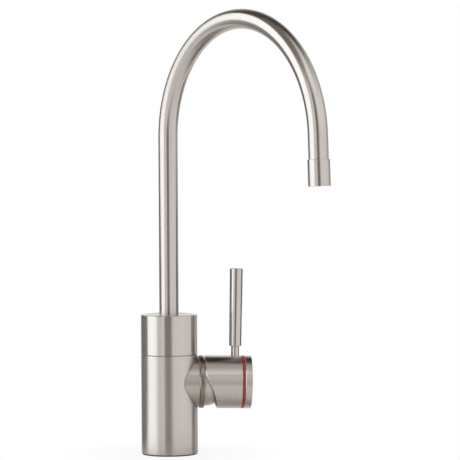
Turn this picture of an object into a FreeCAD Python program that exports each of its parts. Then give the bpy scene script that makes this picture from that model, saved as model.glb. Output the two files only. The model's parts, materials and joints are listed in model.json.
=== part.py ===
import FreeCAD, Part
import math
import os

# A gooseneck bar faucet. A round body with a side valve boss stands on the deck, a hub that carries
# the gooseneck swivels on top of it, and a round handle with a straight lever works the valve from
# the side. Millimetres, +Z up. The origin is on the body's axis at the deck, and the handle lies
# along +X.

vector = FreeCAD.Vector
x_axis = vector(1, 0, 0)
y_axis = vector(0, 1, 0)
z_axis = vector(0, 0, 1)

# Clearances
seat_fit = 0.03            # a fixed piece in its seat, on the radius
running_fit = 0.08         # a turning piece in its bearing, on the radius
running_gap = 0.3          # between surfaces that pass each other
disc_gap = 0.05            # between the two ceramic faces

# Body on the deck
body_radius = 26.25
body_height = 93.05
edge_bevel = 0.4
seal_height = 1.0
seal_inset = 0.6           # how far the seal's edge stays inside the body's
foot_wall = 3.95           # wall around the hollow under the body for the hoses

# Ports and fixing holes in the roof of the recess
under_pocket = 18.62       # from that roof up to the valve pocket
port_radius = 4.5
port_depth = 12.0
port_spacing = 15.0
port_offset = 10.0         # the inlets stand this far behind the valve pocket
waterway_radius = 3.25
stud_radius = 3.4
stud_depth = 12.0
stud_spacing = 20.0
stud_offset = 9.5

# Valve boss on the side of the body
boss_headroom = 1.2        # from the boss's top to the body's
boss_radius = 24.7         # of the collar at the boss's end
boss_proud = 5.45          # the boss's end beyond the body's side
boss_round = 1.2
boss_step = 1.3            # from the collar down to the boss's neck
collar_length = 3.4

# Swivel
seam_gap = 0.4
hub_height = 36.85
hub_roof = 6.0
hub_edge = 0.5
post_radius = 14.0
post_thread_radius = 12.0
post_thread_length = 6.0
post_bore = 8.0
post_headroom = 3.3        # between the post's end and the hub's roof
bush_wall = 2.0
bush_height = 5.0
bush_inset = 0.6
o_ring_section = 2.5
o_ring_sides = 8
o_ring_groove = 3.0
o_ring_pitch = 7.0
clip_thickness = 1.4
clip_seat = 1.2            # depth of the clip's groove in the post
clip_reach = 1.2           # how far the clip enters the hub's groove
clip_depth = 3.0           # from the clip to the post's end
clip_opening = 40.0        # degrees left open in the split ring
washer_thickness = 0.3
washer_inset = 2.25

# Gooseneck
tube_radius = 9.0
tube_wall = 1.5
rise_length = 164.7        # from the hub's top to the start of the arc
arc_radius = 108.2
arc_sweep = 177.5          # degrees
tip_length = 45.2          # from the arc's end to the outlet
spout_azimuth = -56.4      # degrees from the handle's side

# Aerator at the outlet
sleeve_radius = 10.0
sleeve_length = 23.7
sleeve_bevel = 0.6
tube_engagement = 11.7
shoulder_height = 1.6
shoulder_width = 1.1
aerator_wall = 1.1
insert_wall = 1.25
insert_inset = 0.8
gasket_thickness = 1.0
gasket_width = 1.85
grid_inset = 0.8
grid_thickness = 2.5
cell_width = 1.7
cell_pitch = 2.1
cell_rings = 3
plate_thickness = 0.8
plate_inset = 1.2
plate_hole_width = 1.4
plate_hole_count = 12
plate_margin = 2.3         # from the plate's edge to the middle of its holes

# Ceramic cartridge, from the mouth of the boss inwards
nut_sink = 2.2
nut_thickness = 4.5
nut_lug_count = 4
nut_lug_radius = 1.6
cartridge_radius = 17.5
housing_wall = 2.5
housing_end = 2.2
neck_wall = 2.0
neck_length = 5.0
flange_thickness = 2.6
carrier_thickness = 5.05
moving_disc_thickness = 3.0
moving_disc_radius = 11.0
chamber_radius = 7.5       # mixing chamber sunk in the moving disc
chamber_depth = 1.6
fixed_disc_thickness = 3.5
base_thickness = 4.0
port_seal_width = 1.8
port_seal_thickness = 1.4
cartridge_port_drop = 5.0  # inlets below the valve's axis
outlet_port_rise = 8.0
outlet_port_radius = 4.0
riser_radius = 4.5
riser_wall = 2.0

# Spindle, pin and stem
guide_radius = 10.2
guide_reach = 5.4          # the guide's end beyond the pin
pin_radius = 1.5
pin_inset = 0.6
stem_width = 8.0
stem_height = 7.0
tip_radius = 2.6
tip_neck = 2.0             # half height of the stem next to its round tip
tip_sink = 1.6             # depth of the tip's centre in the carrier
tip_slack = 0.15
stem_slack = 0.4

# Domed bonnet, with its centre on the pin
pivot_proud = 0.9          # the pin's axis beyond the boss's end
dome_wall = 2.2
opening_gap = 0.56         # around the stem where the dome opens for it
skirt_depth = 5.3
skirt_wall = 2.0

# Handle
tilt_range = 23.0          # degrees, closed to fully open
rest_lean = 1.2            # degrees, how far the closed handle leans outwards
handle_wall = 1.7          # around the dome
dome_clearance = 0.4
rim_gap = 0.6              # from the boss's end to the handle's edge
rim_bevel = 0.5
cut_rise = 8.5             # the slanted cut starts this far above the axis
cut_depth = 11.9           # how far the cut runs back at the underside
cut_bow = 1.45
hub_wall = 0.7             # between the dome's crown and the handle's inner wall
hub_length = 11.25
cap_recess_depth = 2.5
cap_recess_wall = 4.2
ring_width = 2.0
ring_depth = 2.1
end_length = 6.8
end_round = 0.9
end_bevel = 0.3
stem_engagement = 6.6
screw_radius = 2.5
screw_length = 9.0
screw_socket = 2.5         # across the flats
screw_socket_depth = 3.0

# Lever
lever_set_back = 14.95     # from the handle's outer end to the lever's axis
neck_radius = 3.8
neck_sink = 0.7
neck_visible = 9.0
spigot_radius = 2.9
spigot_length = 8.3
grip_length = 72.5
grip_radius_low = 5.75
grip_radius_high = 6.1
grip_bevel = 0.5

# Levels and places that follow from the sizes above
valve_height = body_height - boss_headroom - boss_radius
pocket_radius = cartridge_radius + seat_fit
recess_radius = body_radius - foot_wall
recess_roof = valve_height - pocket_radius - under_pocket
hub_bottom = body_height + seam_gap
hub_top = hub_bottom + hub_height
hub_ceiling = hub_top - hub_roof
arc_centre_height = hub_top + rise_length
hub_bore = post_radius + bush_wall
post_bottom = body_height - post_thread_length
post_top = hub_ceiling - post_headroom
clip_top = post_top - clip_depth
clip_bottom = clip_top - clip_thickness
lower_bush = hub_bottom + bush_inset
upper_bush = clip_bottom - running_gap - bush_inset - bush_height
seal_middle = (lower_bush + bush_height + upper_bush) / 2
tube_bore = tube_radius - tube_wall

boss_end = body_radius + boss_proud
pivot_x = boss_end + pivot_proud
nut_outer = boss_end - nut_sink
shoulder_x = nut_outer - nut_thickness
housing_bore = cartridge_radius - housing_wall
flange_outer = shoulder_x - housing_end - running_gap
flange_inner = flange_outer - flange_thickness
carrier_outer = flange_inner - running_gap
carrier_inner = carrier_outer - carrier_thickness
moving_disc_inner = carrier_inner - moving_disc_thickness
fixed_disc_outer = moving_disc_inner - disc_gap
fixed_disc_inner = fixed_disc_outer - fixed_disc_thickness
pocket_floor = fixed_disc_inner - base_thickness
inlet_x = pocket_floor - port_offset
riser_x = pocket_floor - riser_wall - riser_radius

tip_x = carrier_outer - tip_sink
stem_arm = pivot_x - tip_x
lean_open = math.radians(rest_lean + tilt_range)
lean_rest = math.radians(rest_lean)
disc_travel = stem_arm * (math.sin(lean_open) - math.sin(lean_rest))
disc_rest = -disc_travel / 2
tip_rest = stem_arm * math.sin(lean_rest)

handle_radius = boss_radius
handle_bore = handle_radius - handle_wall
dome_radius = handle_bore - dome_clearance
skirt_radius = dome_radius - dome_wall
stem_corner = math.hypot(stem_height, stem_width) / 2
stem_in_dome = math.sqrt(dome_radius ** 2 - stem_corner ** 2)
stem_swing = stem_in_dome * math.sin(lean_open) + stem_height / 2 * math.cos(lean_open)
dome_opening = math.hypot(stem_swing, stem_width / 2) + opening_gap
cap_recess_radius = handle_radius - cap_recess_wall
handle_edge = boss_end + rim_gap
hub_face = pivot_x + dome_radius + hub_wall
ring_start = hub_face + hub_length
ring_end = ring_start + ring_width
handle_end = ring_end + end_length
lever_x = handle_end - lever_set_back
lever_seat = handle_radius - neck_sink
grip_bottom = handle_radius + neck_visible
grip_top = grip_bottom + grip_length

valve_centre = vector(0, 0, valve_height)
pivot = vector(pivot_x, 0, valve_height)


def upright(bottom, top, radius, x=0, y=0):
    return Part.makeCylinder(radius, top - bottom, vector(x, y, bottom), z_axis)


def along_valve(start, end, radius, y=0, rise=0):
    return Part.makeCylinder(radius, end - start, vector(start, y, valve_height + rise), x_axis)


def ring_upright(bottom, top, outer, inner):
    return upright(bottom, top, outer).cut(upright(bottom, top, inner))


def ring_valve(start, end, outer, inner, y=0, rise=0):
    return along_valve(start, end, outer, y, rise).cut(along_valve(start, end, inner, y, rise))


def turned(outline, base, axis, side):
    # Each outline point is a distance along the axis and a radius.
    points = [base + axis * along + side * radius for along, radius in outline]
    return Part.Face(Part.makePolygon(points + points[:1])).revolve(base, axis, 360)


def rims(shape, centre, radius):
    circles = [edge for edge in shape.Edges if isinstance(edge.Curve, Part.Circle)]
    return [
        edge for edge in circles
        if abs(edge.Curve.Radius - radius) < 1e-4 and edge.Curve.Center.distanceToPoint(centre) < 1e-4
    ]


def flat_bar(outline, width):
    # A bar across the valve, from an outline of x and height above the axis.
    points = [vector(x, -width / 2, valve_height + rise) for x, rise in outline]
    return Part.Face(Part.makePolygon(points + points[:1])).extrude(y_axis * width)


def body_shape():
    shape = upright(seal_height, body_height, body_radius)
    shape = shape.makeChamfer(edge_bevel, rims(shape, vector(0, 0, seal_height), body_radius))
    shape = shape.makeChamfer(edge_bevel / 2, rims(shape, vector(0, 0, body_height), body_radius))
    shape = shape.cut(upright(0, recess_roof, recess_radius))
    shape = shape.cut(along_valve(pocket_floor, boss_end, pocket_radius))
    shape = shape.cut(upright(post_bottom, body_height, post_thread_radius + seat_fit))
    shape = shape.cut(upright(valve_height + outlet_port_rise, post_bottom, riser_radius, riser_x))
    shape = shape.cut(along_valve(riser_x, pocket_floor, outlet_port_radius, 0, outlet_port_rise))
    for side in (-1, 1):
        port_y = side * port_spacing / 2
        inlet_top = valve_height - cartridge_port_drop
        shape = shape.cut(upright(recess_roof, recess_roof + port_depth, port_radius, inlet_x, port_y))
        shape = shape.cut(upright(recess_roof, inlet_top, waterway_radius, inlet_x, port_y))
        cross = along_valve(inlet_x, pocket_floor, waterway_radius, port_y, -cartridge_port_drop)
        shape = shape.cut(cross)
        stud_y = side * stud_spacing / 2
        shape = shape.cut(upright(recess_roof, recess_roof + stud_depth, stud_radius, stud_offset, stud_y))
    return shape


def base_seal():
    return ring_upright(0, seal_height, body_radius - seal_inset, recess_radius)


def valve_boss():
    collar = along_valve(boss_end - collar_length, boss_end, boss_radius)
    collar = collar.makeFillet(boss_round, rims(collar, vector(boss_end, 0, valve_height), boss_radius))
    boss = along_valve(0, boss_end - collar_length, boss_radius - boss_step).fuse(collar)
    boss = boss.cut(upright(0, hub_bottom, body_radius))
    boss = boss.cut(along_valve(0, boss_end, pocket_radius))
    return boss.cut(along_valve(boss_end - skirt_depth - running_gap, boss_end, skirt_radius + seat_fit))


def swivel_post():
    post = upright(post_bottom, body_height, post_thread_radius)
    post = post.fuse(upright(body_height, post_top, post_radius))
    post = post.cut(upright(post_bottom, post_top, post_bore))
    for level in o_ring_levels():
        low = level - o_ring_groove / 2
        high = level + o_ring_groove / 2
        floor = hub_bore - o_ring_section - 2 * running_fit
        post = post.cut(ring_upright(low, high, post_radius + 1, floor))
    groove = ring_upright(clip_bottom, clip_top, post_radius + 1, post_radius - clip_seat)
    return post.cut(groove).removeSplitter()


def o_ring_levels():
    return (seal_middle - o_ring_pitch / 2, seal_middle + o_ring_pitch / 2)


def post_o_ring(level):
    # The section is a polygon with its flats on the groove and the bore.
    corner = o_ring_section / 2 / math.cos(math.pi / o_ring_sides)
    middle = hub_bore - running_fit - o_ring_section / 2
    outline = []
    for index in range(o_ring_sides):
        turn = 2 * math.pi * (index + 0.5) / o_ring_sides
        outline.append((corner * math.sin(turn), middle + corner * math.cos(turn)))
    return turned(outline, vector(0, 0, level), z_axis, x_axis)


def swivel_bush(bottom):
    return ring_upright(bottom, bottom + bush_height, hub_bore, post_radius + running_fit)


def retaining_clip():
    clip = ring_upright(clip_bottom, clip_top, hub_bore + clip_reach, post_radius - clip_seat)
    reach = hub_bore + clip_reach + 1
    opening = Part.makeCylinder(reach, clip_thickness, vector(0, 0, clip_bottom), z_axis, clip_opening)
    opening.rotate(vector(0, 0, 0), z_axis, 180 - clip_opening / 2)
    return clip.cut(opening)


def thrust_washer():
    top = body_height + washer_thickness
    return ring_upright(body_height, top, body_radius - washer_inset, post_radius)


def spout_hub():
    hub = upright(hub_bottom, hub_top, body_radius)
    hub = hub.makeChamfer(hub_edge, rims(hub, vector(0, 0, hub_top), body_radius))
    hub = hub.makeChamfer(edge_bevel / 2, rims(hub, vector(0, 0, hub_bottom), body_radius))
    hub = hub.cut(upright(hub_bottom, hub_ceiling, hub_bore))
    groove_radius = hub_bore + clip_reach + running_gap
    hub = hub.cut(upright(clip_bottom - running_gap, clip_top + running_gap, groove_radius))
    return hub.cut(upright(hub_ceiling, hub_top, tube_radius + seat_fit))


def at_spout(shape):
    turned_shape = shape.copy()
    turned_shape.rotate(vector(0, 0, 0), z_axis, spout_azimuth)
    return turned_shape


def outlet_frame():
    # The outlet's centre and the direction back up the tip, with the spout in the XZ plane.
    past_top = math.radians(180 - arc_sweep)
    arc_x = arc_radius + arc_radius * math.cos(past_top)
    arc_end = vector(arc_x, 0, arc_centre_height + arc_radius * math.sin(past_top))
    down = vector(math.sin(past_top), 0, -math.cos(past_top))
    return arc_end, arc_end + down * tip_length, down * -1


def gooseneck_path():
    arc_end, outlet, back = outlet_frame()
    rise_end = vector(0, 0, arc_centre_height)
    half = math.radians(180 - arc_sweep / 2)
    crown_x = arc_radius + arc_radius * math.cos(half)
    crown = vector(crown_x, 0, arc_centre_height + arc_radius * math.sin(half))
    tube_end = outlet + back * (sleeve_length - tube_engagement)
    rise = Part.LineSegment(vector(0, 0, hub_ceiling), rise_end).toShape()
    arc = Part.Arc(rise_end, crown, arc_end).toShape()
    return Part.Wire([rise, arc, Part.LineSegment(arc_end, tube_end).toShape()])


def spout_tube():
    path = gooseneck_path()
    solids = []
    for radius in (tube_radius, tube_bore):
        circle = Part.makeCircle(radius, vector(0, 0, hub_ceiling), z_axis)
        solids.append(path.makePipeShell([Part.Wire(circle)], True, False))
    return at_spout(solids[0].cut(solids[1]))


def at_outlet(outline):
    # A turned piece of the aerator. Its outline counts up from the outlet along the tip.
    outlet, back = outlet_frame()[1:]
    return at_spout(turned(outline, outlet, back, y_axis))


def aerator_sleeve():
    bore_top = sleeve_length - tube_engagement
    shoulder = bore_top - shoulder_height
    inner = sleeve_radius - aerator_wall
    outline = [
        (0, inner),
        (shoulder, inner),
        (shoulder, inner - shoulder_width),
        (bore_top, inner - shoulder_width),
        (bore_top, tube_radius + seat_fit),
        (sleeve_length, tube_radius + seat_fit),
        (sleeve_length, sleeve_radius - sleeve_bevel),
        (sleeve_length - sleeve_bevel, sleeve_radius),
        (sleeve_bevel / 2, sleeve_radius),
        (0, sleeve_radius - sleeve_bevel / 2),
    ]
    return at_outlet(outline)


def aerator_levels():
    # Heights above the outlet: the gasket's underside, and the insert's bore.
    gasket_under = sleeve_length - tube_engagement - shoulder_height - gasket_thickness
    return gasket_under, sleeve_radius - aerator_wall - seat_fit


def aerator_gasket():
    low, outer = aerator_levels()
    high = low + gasket_thickness
    return at_outlet([(low, outer - gasket_width), (high, outer - gasket_width), (high, outer), (low, outer)])


def aerator_insert():
    high, outer = aerator_levels()
    bore = outer - insert_wall
    outline = [(insert_inset, bore), (high, bore), (high, outer), (insert_inset, outer)]
    return at_outlet(outline)


def hexagon(centre_x, centre_y, level, width):
    corner = width / math.sqrt(3)
    points = []
    for index in range(7):
        turn = math.radians(60 * index + 30)
        points.append(vector(centre_x + corner * math.cos(turn), centre_y + corner * math.sin(turn), level))
    return Part.Face(Part.makePolygon(points))


def place_at_outlet(shape):
    # Moves a piece modelled upright on the Z axis, with the outlet at zero, to the spout's tip.
    outlet, back = outlet_frame()[1:]
    placed = shape.copy()
    placed.Placement = FreeCAD.Placement(outlet, FreeCAD.Rotation(z_axis, back))
    return at_spout(placed)


def flow_straightener():
    outer = aerator_levels()[1] - insert_wall - seat_fit
    low = insert_inset + grid_inset
    grid = upright(low, low + grid_thickness, outer)
    cells = []
    for column in range(-cell_rings, cell_rings + 1):
        for row in range(-cell_rings, cell_rings + 1):
            if abs(column + row) > cell_rings:
                continue
            cell_x = cell_pitch * (column + row / 2)
            cell_y = cell_pitch * row * math.sqrt(3) / 2
            cells.append(hexagon(cell_x, cell_y, low, cell_width).extrude(z_axis * grid_thickness))
    return place_at_outlet(grid.cut(Part.makeCompound(cells)))


def diffuser_plate():
    high, outer = aerator_levels()
    outer = outer - insert_wall - seat_fit
    low = high - plate_inset - plate_thickness
    plate = upright(low, low + plate_thickness, outer)
    holes = []
    for index in range(plate_hole_count):
        turn = 2 * math.pi * index / plate_hole_count
        hole_x = (outer - plate_margin) * math.cos(turn)
        hole_y = (outer - plate_margin) * math.sin(turn)
        holes.append(hexagon(hole_x, hole_y, low, plate_hole_width).extrude(z_axis * plate_thickness))
    return place_at_outlet(plate.cut(Part.makeCompound(holes)))


def cartridge_ports():
    # Port radius, place across the valve and height above its axis: two inlets, then the outlet.
    inlet_y = port_spacing / 2
    return (
        (waterway_radius, -inlet_y, -cartridge_port_drop),
        (waterway_radius, inlet_y, -cartridge_port_drop),
        (outlet_port_radius, 0, outlet_port_rise),
    )


def with_ports(shape, start, end):
    for radius, y, rise in cartridge_ports():
        shape = shape.cut(along_valve(start, end, radius, y, rise))
    return shape


def cartridge_base():
    base = with_ports(along_valve(pocket_floor, fixed_disc_inner, cartridge_radius), pocket_floor, fixed_disc_inner)
    for radius, y, rise in cartridge_ports():
        seat = radius + port_seal_width
        base = base.cut(along_valve(pocket_floor, pocket_floor + port_seal_thickness, seat, y, rise))
    return base


def port_seal(port):
    radius, y, rise = port
    outer = radius + port_seal_width
    return ring_valve(pocket_floor, pocket_floor + port_seal_thickness, outer, radius, y, rise)


def fixed_ceramic_disc():
    disc = along_valve(fixed_disc_inner, fixed_disc_outer, housing_bore - seat_fit)
    return with_ports(disc, fixed_disc_inner, fixed_disc_outer)


def moving_ceramic_disc():
    disc = along_valve(moving_disc_inner, carrier_inner, moving_disc_radius, 0, disc_rest)
    chamber_end = moving_disc_inner + chamber_depth
    return disc.cut(along_valve(moving_disc_inner, chamber_end, chamber_radius, 0, disc_rest))


def disc_carrier():
    carrier = along_valve(carrier_inner, carrier_outer, moving_disc_radius, 0, disc_rest)
    floor = tip_x - tip_radius - tip_slack
    half = tip_radius + tip_slack
    slot = [
        (floor, tip_rest - half),
        (carrier_outer, tip_rest - half),
        (carrier_outer, tip_rest + half),
        (floor, tip_rest + half),
    ]
    return carrier.cut(flat_bar(slot, stem_width + 2 * tip_slack))


def cartridge_housing():
    bore_end = shoulder_x - housing_end
    neck_bore = guide_radius + running_fit
    neck_end = shoulder_x + neck_length
    outline = [
        (fixed_disc_inner, housing_bore),
        (bore_end, housing_bore),
        (bore_end, neck_bore),
        (neck_end, neck_bore),
        (neck_end, neck_bore + neck_wall),
        (shoulder_x, neck_bore + neck_wall),
        (shoulder_x, cartridge_radius),
        (fixed_disc_inner, cartridge_radius),
    ]
    return turned(outline, valve_centre, x_axis, z_axis)


def cartridge_nut():
    inner = guide_radius + running_fit + neck_wall + seat_fit
    nut = ring_valve(shoulder_x, nut_outer, cartridge_radius, inner)
    lug_circle = (cartridge_radius + inner) / 2
    for index in range(nut_lug_count):
        turn = 2 * math.pi * index / nut_lug_count
        lug_y = lug_circle * math.cos(turn)
        lug_rise = lug_circle * math.sin(turn)
        nut = nut.cut(along_valve(nut_outer - nut_thickness / 2, nut_outer, nut_lug_radius, lug_y, lug_rise))
    return nut


def bonnet_dome():
    dome = Part.makeSphere(dome_radius, pivot).cut(Part.makeSphere(dome_radius - dome_wall, pivot))
    dome = dome.common(along_valve(boss_end, hub_face, dome_radius))
    dome = dome.cut(along_valve(boss_end, hub_face, dome_opening))
    inner = skirt_radius - skirt_wall
    skirt = ring_valve(boss_end - skirt_depth, boss_end + pivot_proud, skirt_radius, inner)
    return dome.fuse(skirt).removeSplitter()


def stem_reach_at(x, lean):
    # Height of the stem's far side at one place along the valve, for one lean of the handle.
    offset = (pivot_x - x) * math.tan(lean)
    return offset, stem_height / 2 / math.cos(lean) + stem_slack


def spindle_guide():
    end = pivot_x + guide_reach
    guide = along_valve(flange_outer, end, guide_radius)
    guide = guide.fuse(along_valve(flange_inner, flange_outer, housing_bore - running_gap))
    half_rest = stem_height / 2 + stem_slack
    inner_offset, half_open = stem_reach_at(flange_inner, lean_open)
    outer_offset = stem_reach_at(end, lean_open)[0]
    slot = [
        (flange_inner, -half_rest),
        (pivot_x, -half_open),
        (end, outer_offset - half_open),
        (end, half_rest),
        (pivot_x, half_open),
        (flange_inner, inner_offset + half_open),
    ]
    guide = guide.cut(flat_bar(slot, stem_width + 2 * tip_slack))
    return guide.cut(pin_solid(pin_radius + seat_fit, guide_radius)).removeSplitter()


def pin_solid(radius, half_length):
    start = pivot - y_axis * half_length
    return Part.makeCylinder(radius, 2 * half_length, start, y_axis)


def pivot_pin():
    return pin_solid(pin_radius, guide_radius - pin_inset)


def leaning(shape):
    # Handle pieces are modelled square to the valve, then lean with the closed handle.
    leaned = shape.copy()
    leaned.rotate(pivot, y_axis, rest_lean)
    return leaned


def cartridge_stem():
    half = stem_height / 2
    neck_start = tip_x + tip_radius + tip_sink
    end = hub_face + stem_engagement
    outline = [
        (tip_x, -tip_neck),
        (neck_start, -tip_neck),
        (neck_start + half, -half),
        (end, -half),
        (end, half),
        (neck_start + half, half),
        (neck_start, tip_neck),
        (tip_x, tip_neck),
    ]
    stem = flat_bar(outline, stem_width)
    tip_start = vector(tip_x, -stem_width / 2, valve_height)
    stem = stem.fuse(Part.makeCylinder(tip_radius, stem_width, tip_start, y_axis))
    return leaning(stem.cut(pin_solid(pin_radius + running_fit, stem_width)))


def slanted_cut():
    # The lower front of the handle is cut back in a shallow bow, so that it clears the boss when open.
    start = vector(handle_edge, 0, valve_height + cut_rise)
    end = vector(handle_edge + cut_depth, 0, valve_height - handle_radius)
    run = end - start
    middle = (start + end) / 2 + vector(-run.z, 0, run.x).normalize() * cut_bow
    corner = vector(handle_edge - rim_gap, 0, valve_height - handle_radius)
    top = vector(handle_edge - rim_gap, 0, valve_height + cut_rise)
    bow = Part.Arc(start, middle, end).toShape()
    wire = Part.Wire([bow, Part.makePolygon([end, corner, top, start])])
    width = 2 * handle_radius
    face = Part.Face(wire)
    face.translate(y_axis * -handle_radius)
    return face.extrude(y_axis * width)


def handle_cap():
    cap = along_valve(handle_edge, ring_start, handle_radius)
    cap = cap.makeChamfer(rim_bevel, rims(cap, vector(handle_edge, 0, valve_height), handle_radius))
    cap = cap.cut(along_valve(handle_edge, hub_face, handle_bore))
    cap = cap.cut(along_valve(ring_start - cap_recess_depth, ring_start, cap_recess_radius))
    socket_end = hub_face + stem_engagement + running_gap
    socket_half = stem_height / 2 + seat_fit
    socket = [
        (hub_face, -socket_half),
        (socket_end, -socket_half),
        (socket_end, socket_half),
        (hub_face, socket_half),
    ]
    cap = cap.cut(flat_bar(socket, stem_width + 2 * seat_fit))
    cap = cap.cut(lever_rod(lever_seat, handle_radius, neck_radius + seat_fit))
    cap = cap.cut(lever_rod(lever_seat - spigot_length, lever_seat, spigot_radius + seat_fit))
    cap = cap.cut(lever_rod(-handle_radius, 0, screw_radius))
    return leaning(cap.cut(slanted_cut()))


def indicator_ring():
    return leaning(ring_valve(ring_start, ring_end, handle_radius, handle_radius - ring_depth))


def end_cap():
    head = along_valve(ring_end, handle_end, handle_radius)
    head = head.makeFillet(end_round, rims(head, vector(handle_end, 0, valve_height), handle_radius))
    head = head.makeChamfer(end_bevel, rims(head, vector(ring_end, 0, valve_height), handle_radius))
    collar = along_valve(ring_start, ring_end, handle_radius - ring_depth - seat_fit)
    spigot_start = ring_start - cap_recess_depth + running_gap
    spigot = along_valve(spigot_start, ring_start, cap_recess_radius - seat_fit)
    return leaning(head.fuse(collar).fuse(spigot).removeSplitter())


def lever_rod(low, high, radius):
    # A cylinder on the lever's axis, between two distances from the valve's axis.
    return Part.makeCylinder(radius, high - low, vector(lever_x, 0, valve_height + low), z_axis)


def lever_neck():
    neck = lever_rod(lever_seat, grip_bottom, neck_radius)
    neck = neck.fuse(lever_rod(lever_seat - spigot_length + running_gap, lever_seat, spigot_radius))
    neck = neck.fuse(lever_rod(grip_bottom, grip_bottom + spigot_length - running_gap, spigot_radius))
    return leaning(neck.removeSplitter())


def lever_grip():
    bore = spigot_radius + seat_fit
    outline = [
        (grip_bottom, bore),
        (grip_bottom + spigot_length, bore),
        (grip_bottom + spigot_length, 0),
        (grip_top, 0),
        (grip_top, grip_radius_high - grip_bevel),
        (grip_top - grip_bevel, grip_radius_high),
        (grip_bottom + grip_bevel, grip_radius_low),
        (grip_bottom, grip_radius_low - grip_bevel),
    ]
    base = vector(lever_x, 0, valve_height)
    return leaning(turned(outline, base, z_axis, x_axis))


def handle_grub_screw():
    stem_side = -stem_height / 2
    low = stem_side - screw_length
    screw = lever_rod(low, stem_side, screw_radius - seat_fit)
    corner = screw_socket / math.sqrt(3)
    points = []
    for index in range(7):
        turn = math.radians(60 * index)
        x = lever_x + corner * math.cos(turn)
        points.append(vector(x, corner * math.sin(turn), valve_height + low))
    socket = Part.Face(Part.makePolygon(points)).extrude(z_axis * screw_socket_depth)
    return leaning(screw.cut(socket))


def save(name, shape):
    shape.exportStep("parts/" + name + ".step")


os.makedirs("parts", exist_ok=True)

save("body", body_shape())
save("base_seal", base_seal())
save("valve_boss", valve_boss())
save("swivel_post", swivel_post())
for name, level in zip(("lower_o_ring", "upper_o_ring"), o_ring_levels()):
    save(name, post_o_ring(level))
save("retaining_clip", retaining_clip())
save("thrust_washer", thrust_washer())

save("spout_hub", spout_hub())
save("lower_bush", swivel_bush(lower_bush))
save("upper_bush", swivel_bush(upper_bush))
save("spout_tube", spout_tube())
save("aerator_sleeve", aerator_sleeve())
save("aerator_gasket", aerator_gasket())
save("aerator_insert", aerator_insert())
save("flow_straightener", flow_straightener())
save("diffuser_plate", diffuser_plate())

save("cartridge_base", cartridge_base())
for name, port in zip(("hot_port_seal", "cold_port_seal", "outlet_port_seal"), cartridge_ports()):
    save(name, port_seal(port))
save("fixed_ceramic_disc", fixed_ceramic_disc())
save("cartridge_housing", cartridge_housing())
save("cartridge_nut", cartridge_nut())
save("bonnet_dome", bonnet_dome())
save("moving_ceramic_disc", moving_ceramic_disc())
save("disc_carrier", disc_carrier())
save("spindle_guide", spindle_guide())
save("pivot_pin", pivot_pin())

save("cartridge_stem", cartridge_stem())
save("handle_cap", handle_cap())
save("indicator_ring", indicator_ring())
save("end_cap", end_cap())
save("lever_neck", lever_neck())
save("lever_grip", lever_grip())
save("handle_grub_screw", handle_grub_screw())

print("disc travel", round(disc_travel, 3), "mm over", tilt_range, "degrees")
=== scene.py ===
import json
import math

import bmesh
import bpy
from mathutils import Matrix, Vector


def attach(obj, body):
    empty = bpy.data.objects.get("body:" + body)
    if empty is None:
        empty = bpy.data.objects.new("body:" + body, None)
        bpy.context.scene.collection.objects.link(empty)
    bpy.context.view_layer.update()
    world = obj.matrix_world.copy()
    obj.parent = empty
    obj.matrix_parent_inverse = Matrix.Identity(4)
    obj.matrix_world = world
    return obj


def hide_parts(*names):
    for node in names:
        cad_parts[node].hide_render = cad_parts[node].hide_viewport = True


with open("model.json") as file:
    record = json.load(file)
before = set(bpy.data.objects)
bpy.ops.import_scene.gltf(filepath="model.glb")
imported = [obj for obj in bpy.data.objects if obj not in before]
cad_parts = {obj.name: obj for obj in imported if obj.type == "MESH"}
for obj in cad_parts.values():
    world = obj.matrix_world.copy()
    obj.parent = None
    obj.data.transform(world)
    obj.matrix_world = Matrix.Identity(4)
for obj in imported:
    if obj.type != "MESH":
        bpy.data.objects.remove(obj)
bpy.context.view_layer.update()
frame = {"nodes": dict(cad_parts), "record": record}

# A bar faucet in satin brushed stainless steel: a round body with a side valve, a hub that turns
# with the gooseneck, and a slanted handle with a red ring and a straight lever. Sizes in the
# dictionaries are millimetres, or metres in the studio's, and names that end in Angle are degrees.

mm = 0.001
zAxis = Vector((0, 0, 1))
print("frame loaded:", len(frame["nodes"]), "CAD pieces")


def linear(hexText):
    # An sRGB hex colour as the linear numbers that the shaders take.
    channels = [int(hexText[at:at + 2], 16) / 255 for at in (1, 3, 5)]
    curve = [c / 12.92 if c <= 0.04045 else ((c + 0.055) / 1.055) ** 2.4 for c in channels]
    return (*curve, 1.0)


def addNode(tree, kind, settings=None, values=None, links=None):
    node = tree.nodes.new(kind)
    for name, value in (settings or {}).items():
        setattr(node, name, value)
    for socket, value in (values or {}).items():
        node.inputs[socket].default_value = value
    for socket, source in (links or {}).items():
        tree.links.new(source, node.inputs[socket])
    return node


def newMaterial(name):
    material = bpy.data.materials.new(name)
    material.use_nodes = True
    material.node_tree.nodes.clear()
    return material, material.node_tree


noiseRange = (0.3, 0.7)     # a noise node's usual lowest and highest values
quarterTurn = 0.25          # as the shader's rotation counts it


def unevenSurface(tree, look, grain, patches):
    # Colour and relief follow the grain, and roughness follows the patches.
    tint = addNode(
        tree, "ShaderNodeMix", {"data_type": "RGBA"},
        {6: linear(look["shade"]), 7: linear(look["colour"])}, {0: grain.outputs[0]})
    rough = addNode(
        tree, "ShaderNodeMapRange",
        values={"From Min": noiseRange[0], "From Max": noiseRange[1],
                "To Min": look["roughness"] - look["spread"],
                "To Max": look["roughness"] + look["spread"]},
        links={"Value": patches.outputs[0]})
    bump = addNode(
        tree, "ShaderNodeBump",
        values={"Strength": look["relief"], "Distance": look["reliefDepth"] * mm},
        links={"Height": grain.outputs[0]})
    return {"Base Color": tint.outputs[2], "Roughness": rough.outputs[0], "Normal": bump.outputs[0]}


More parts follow.
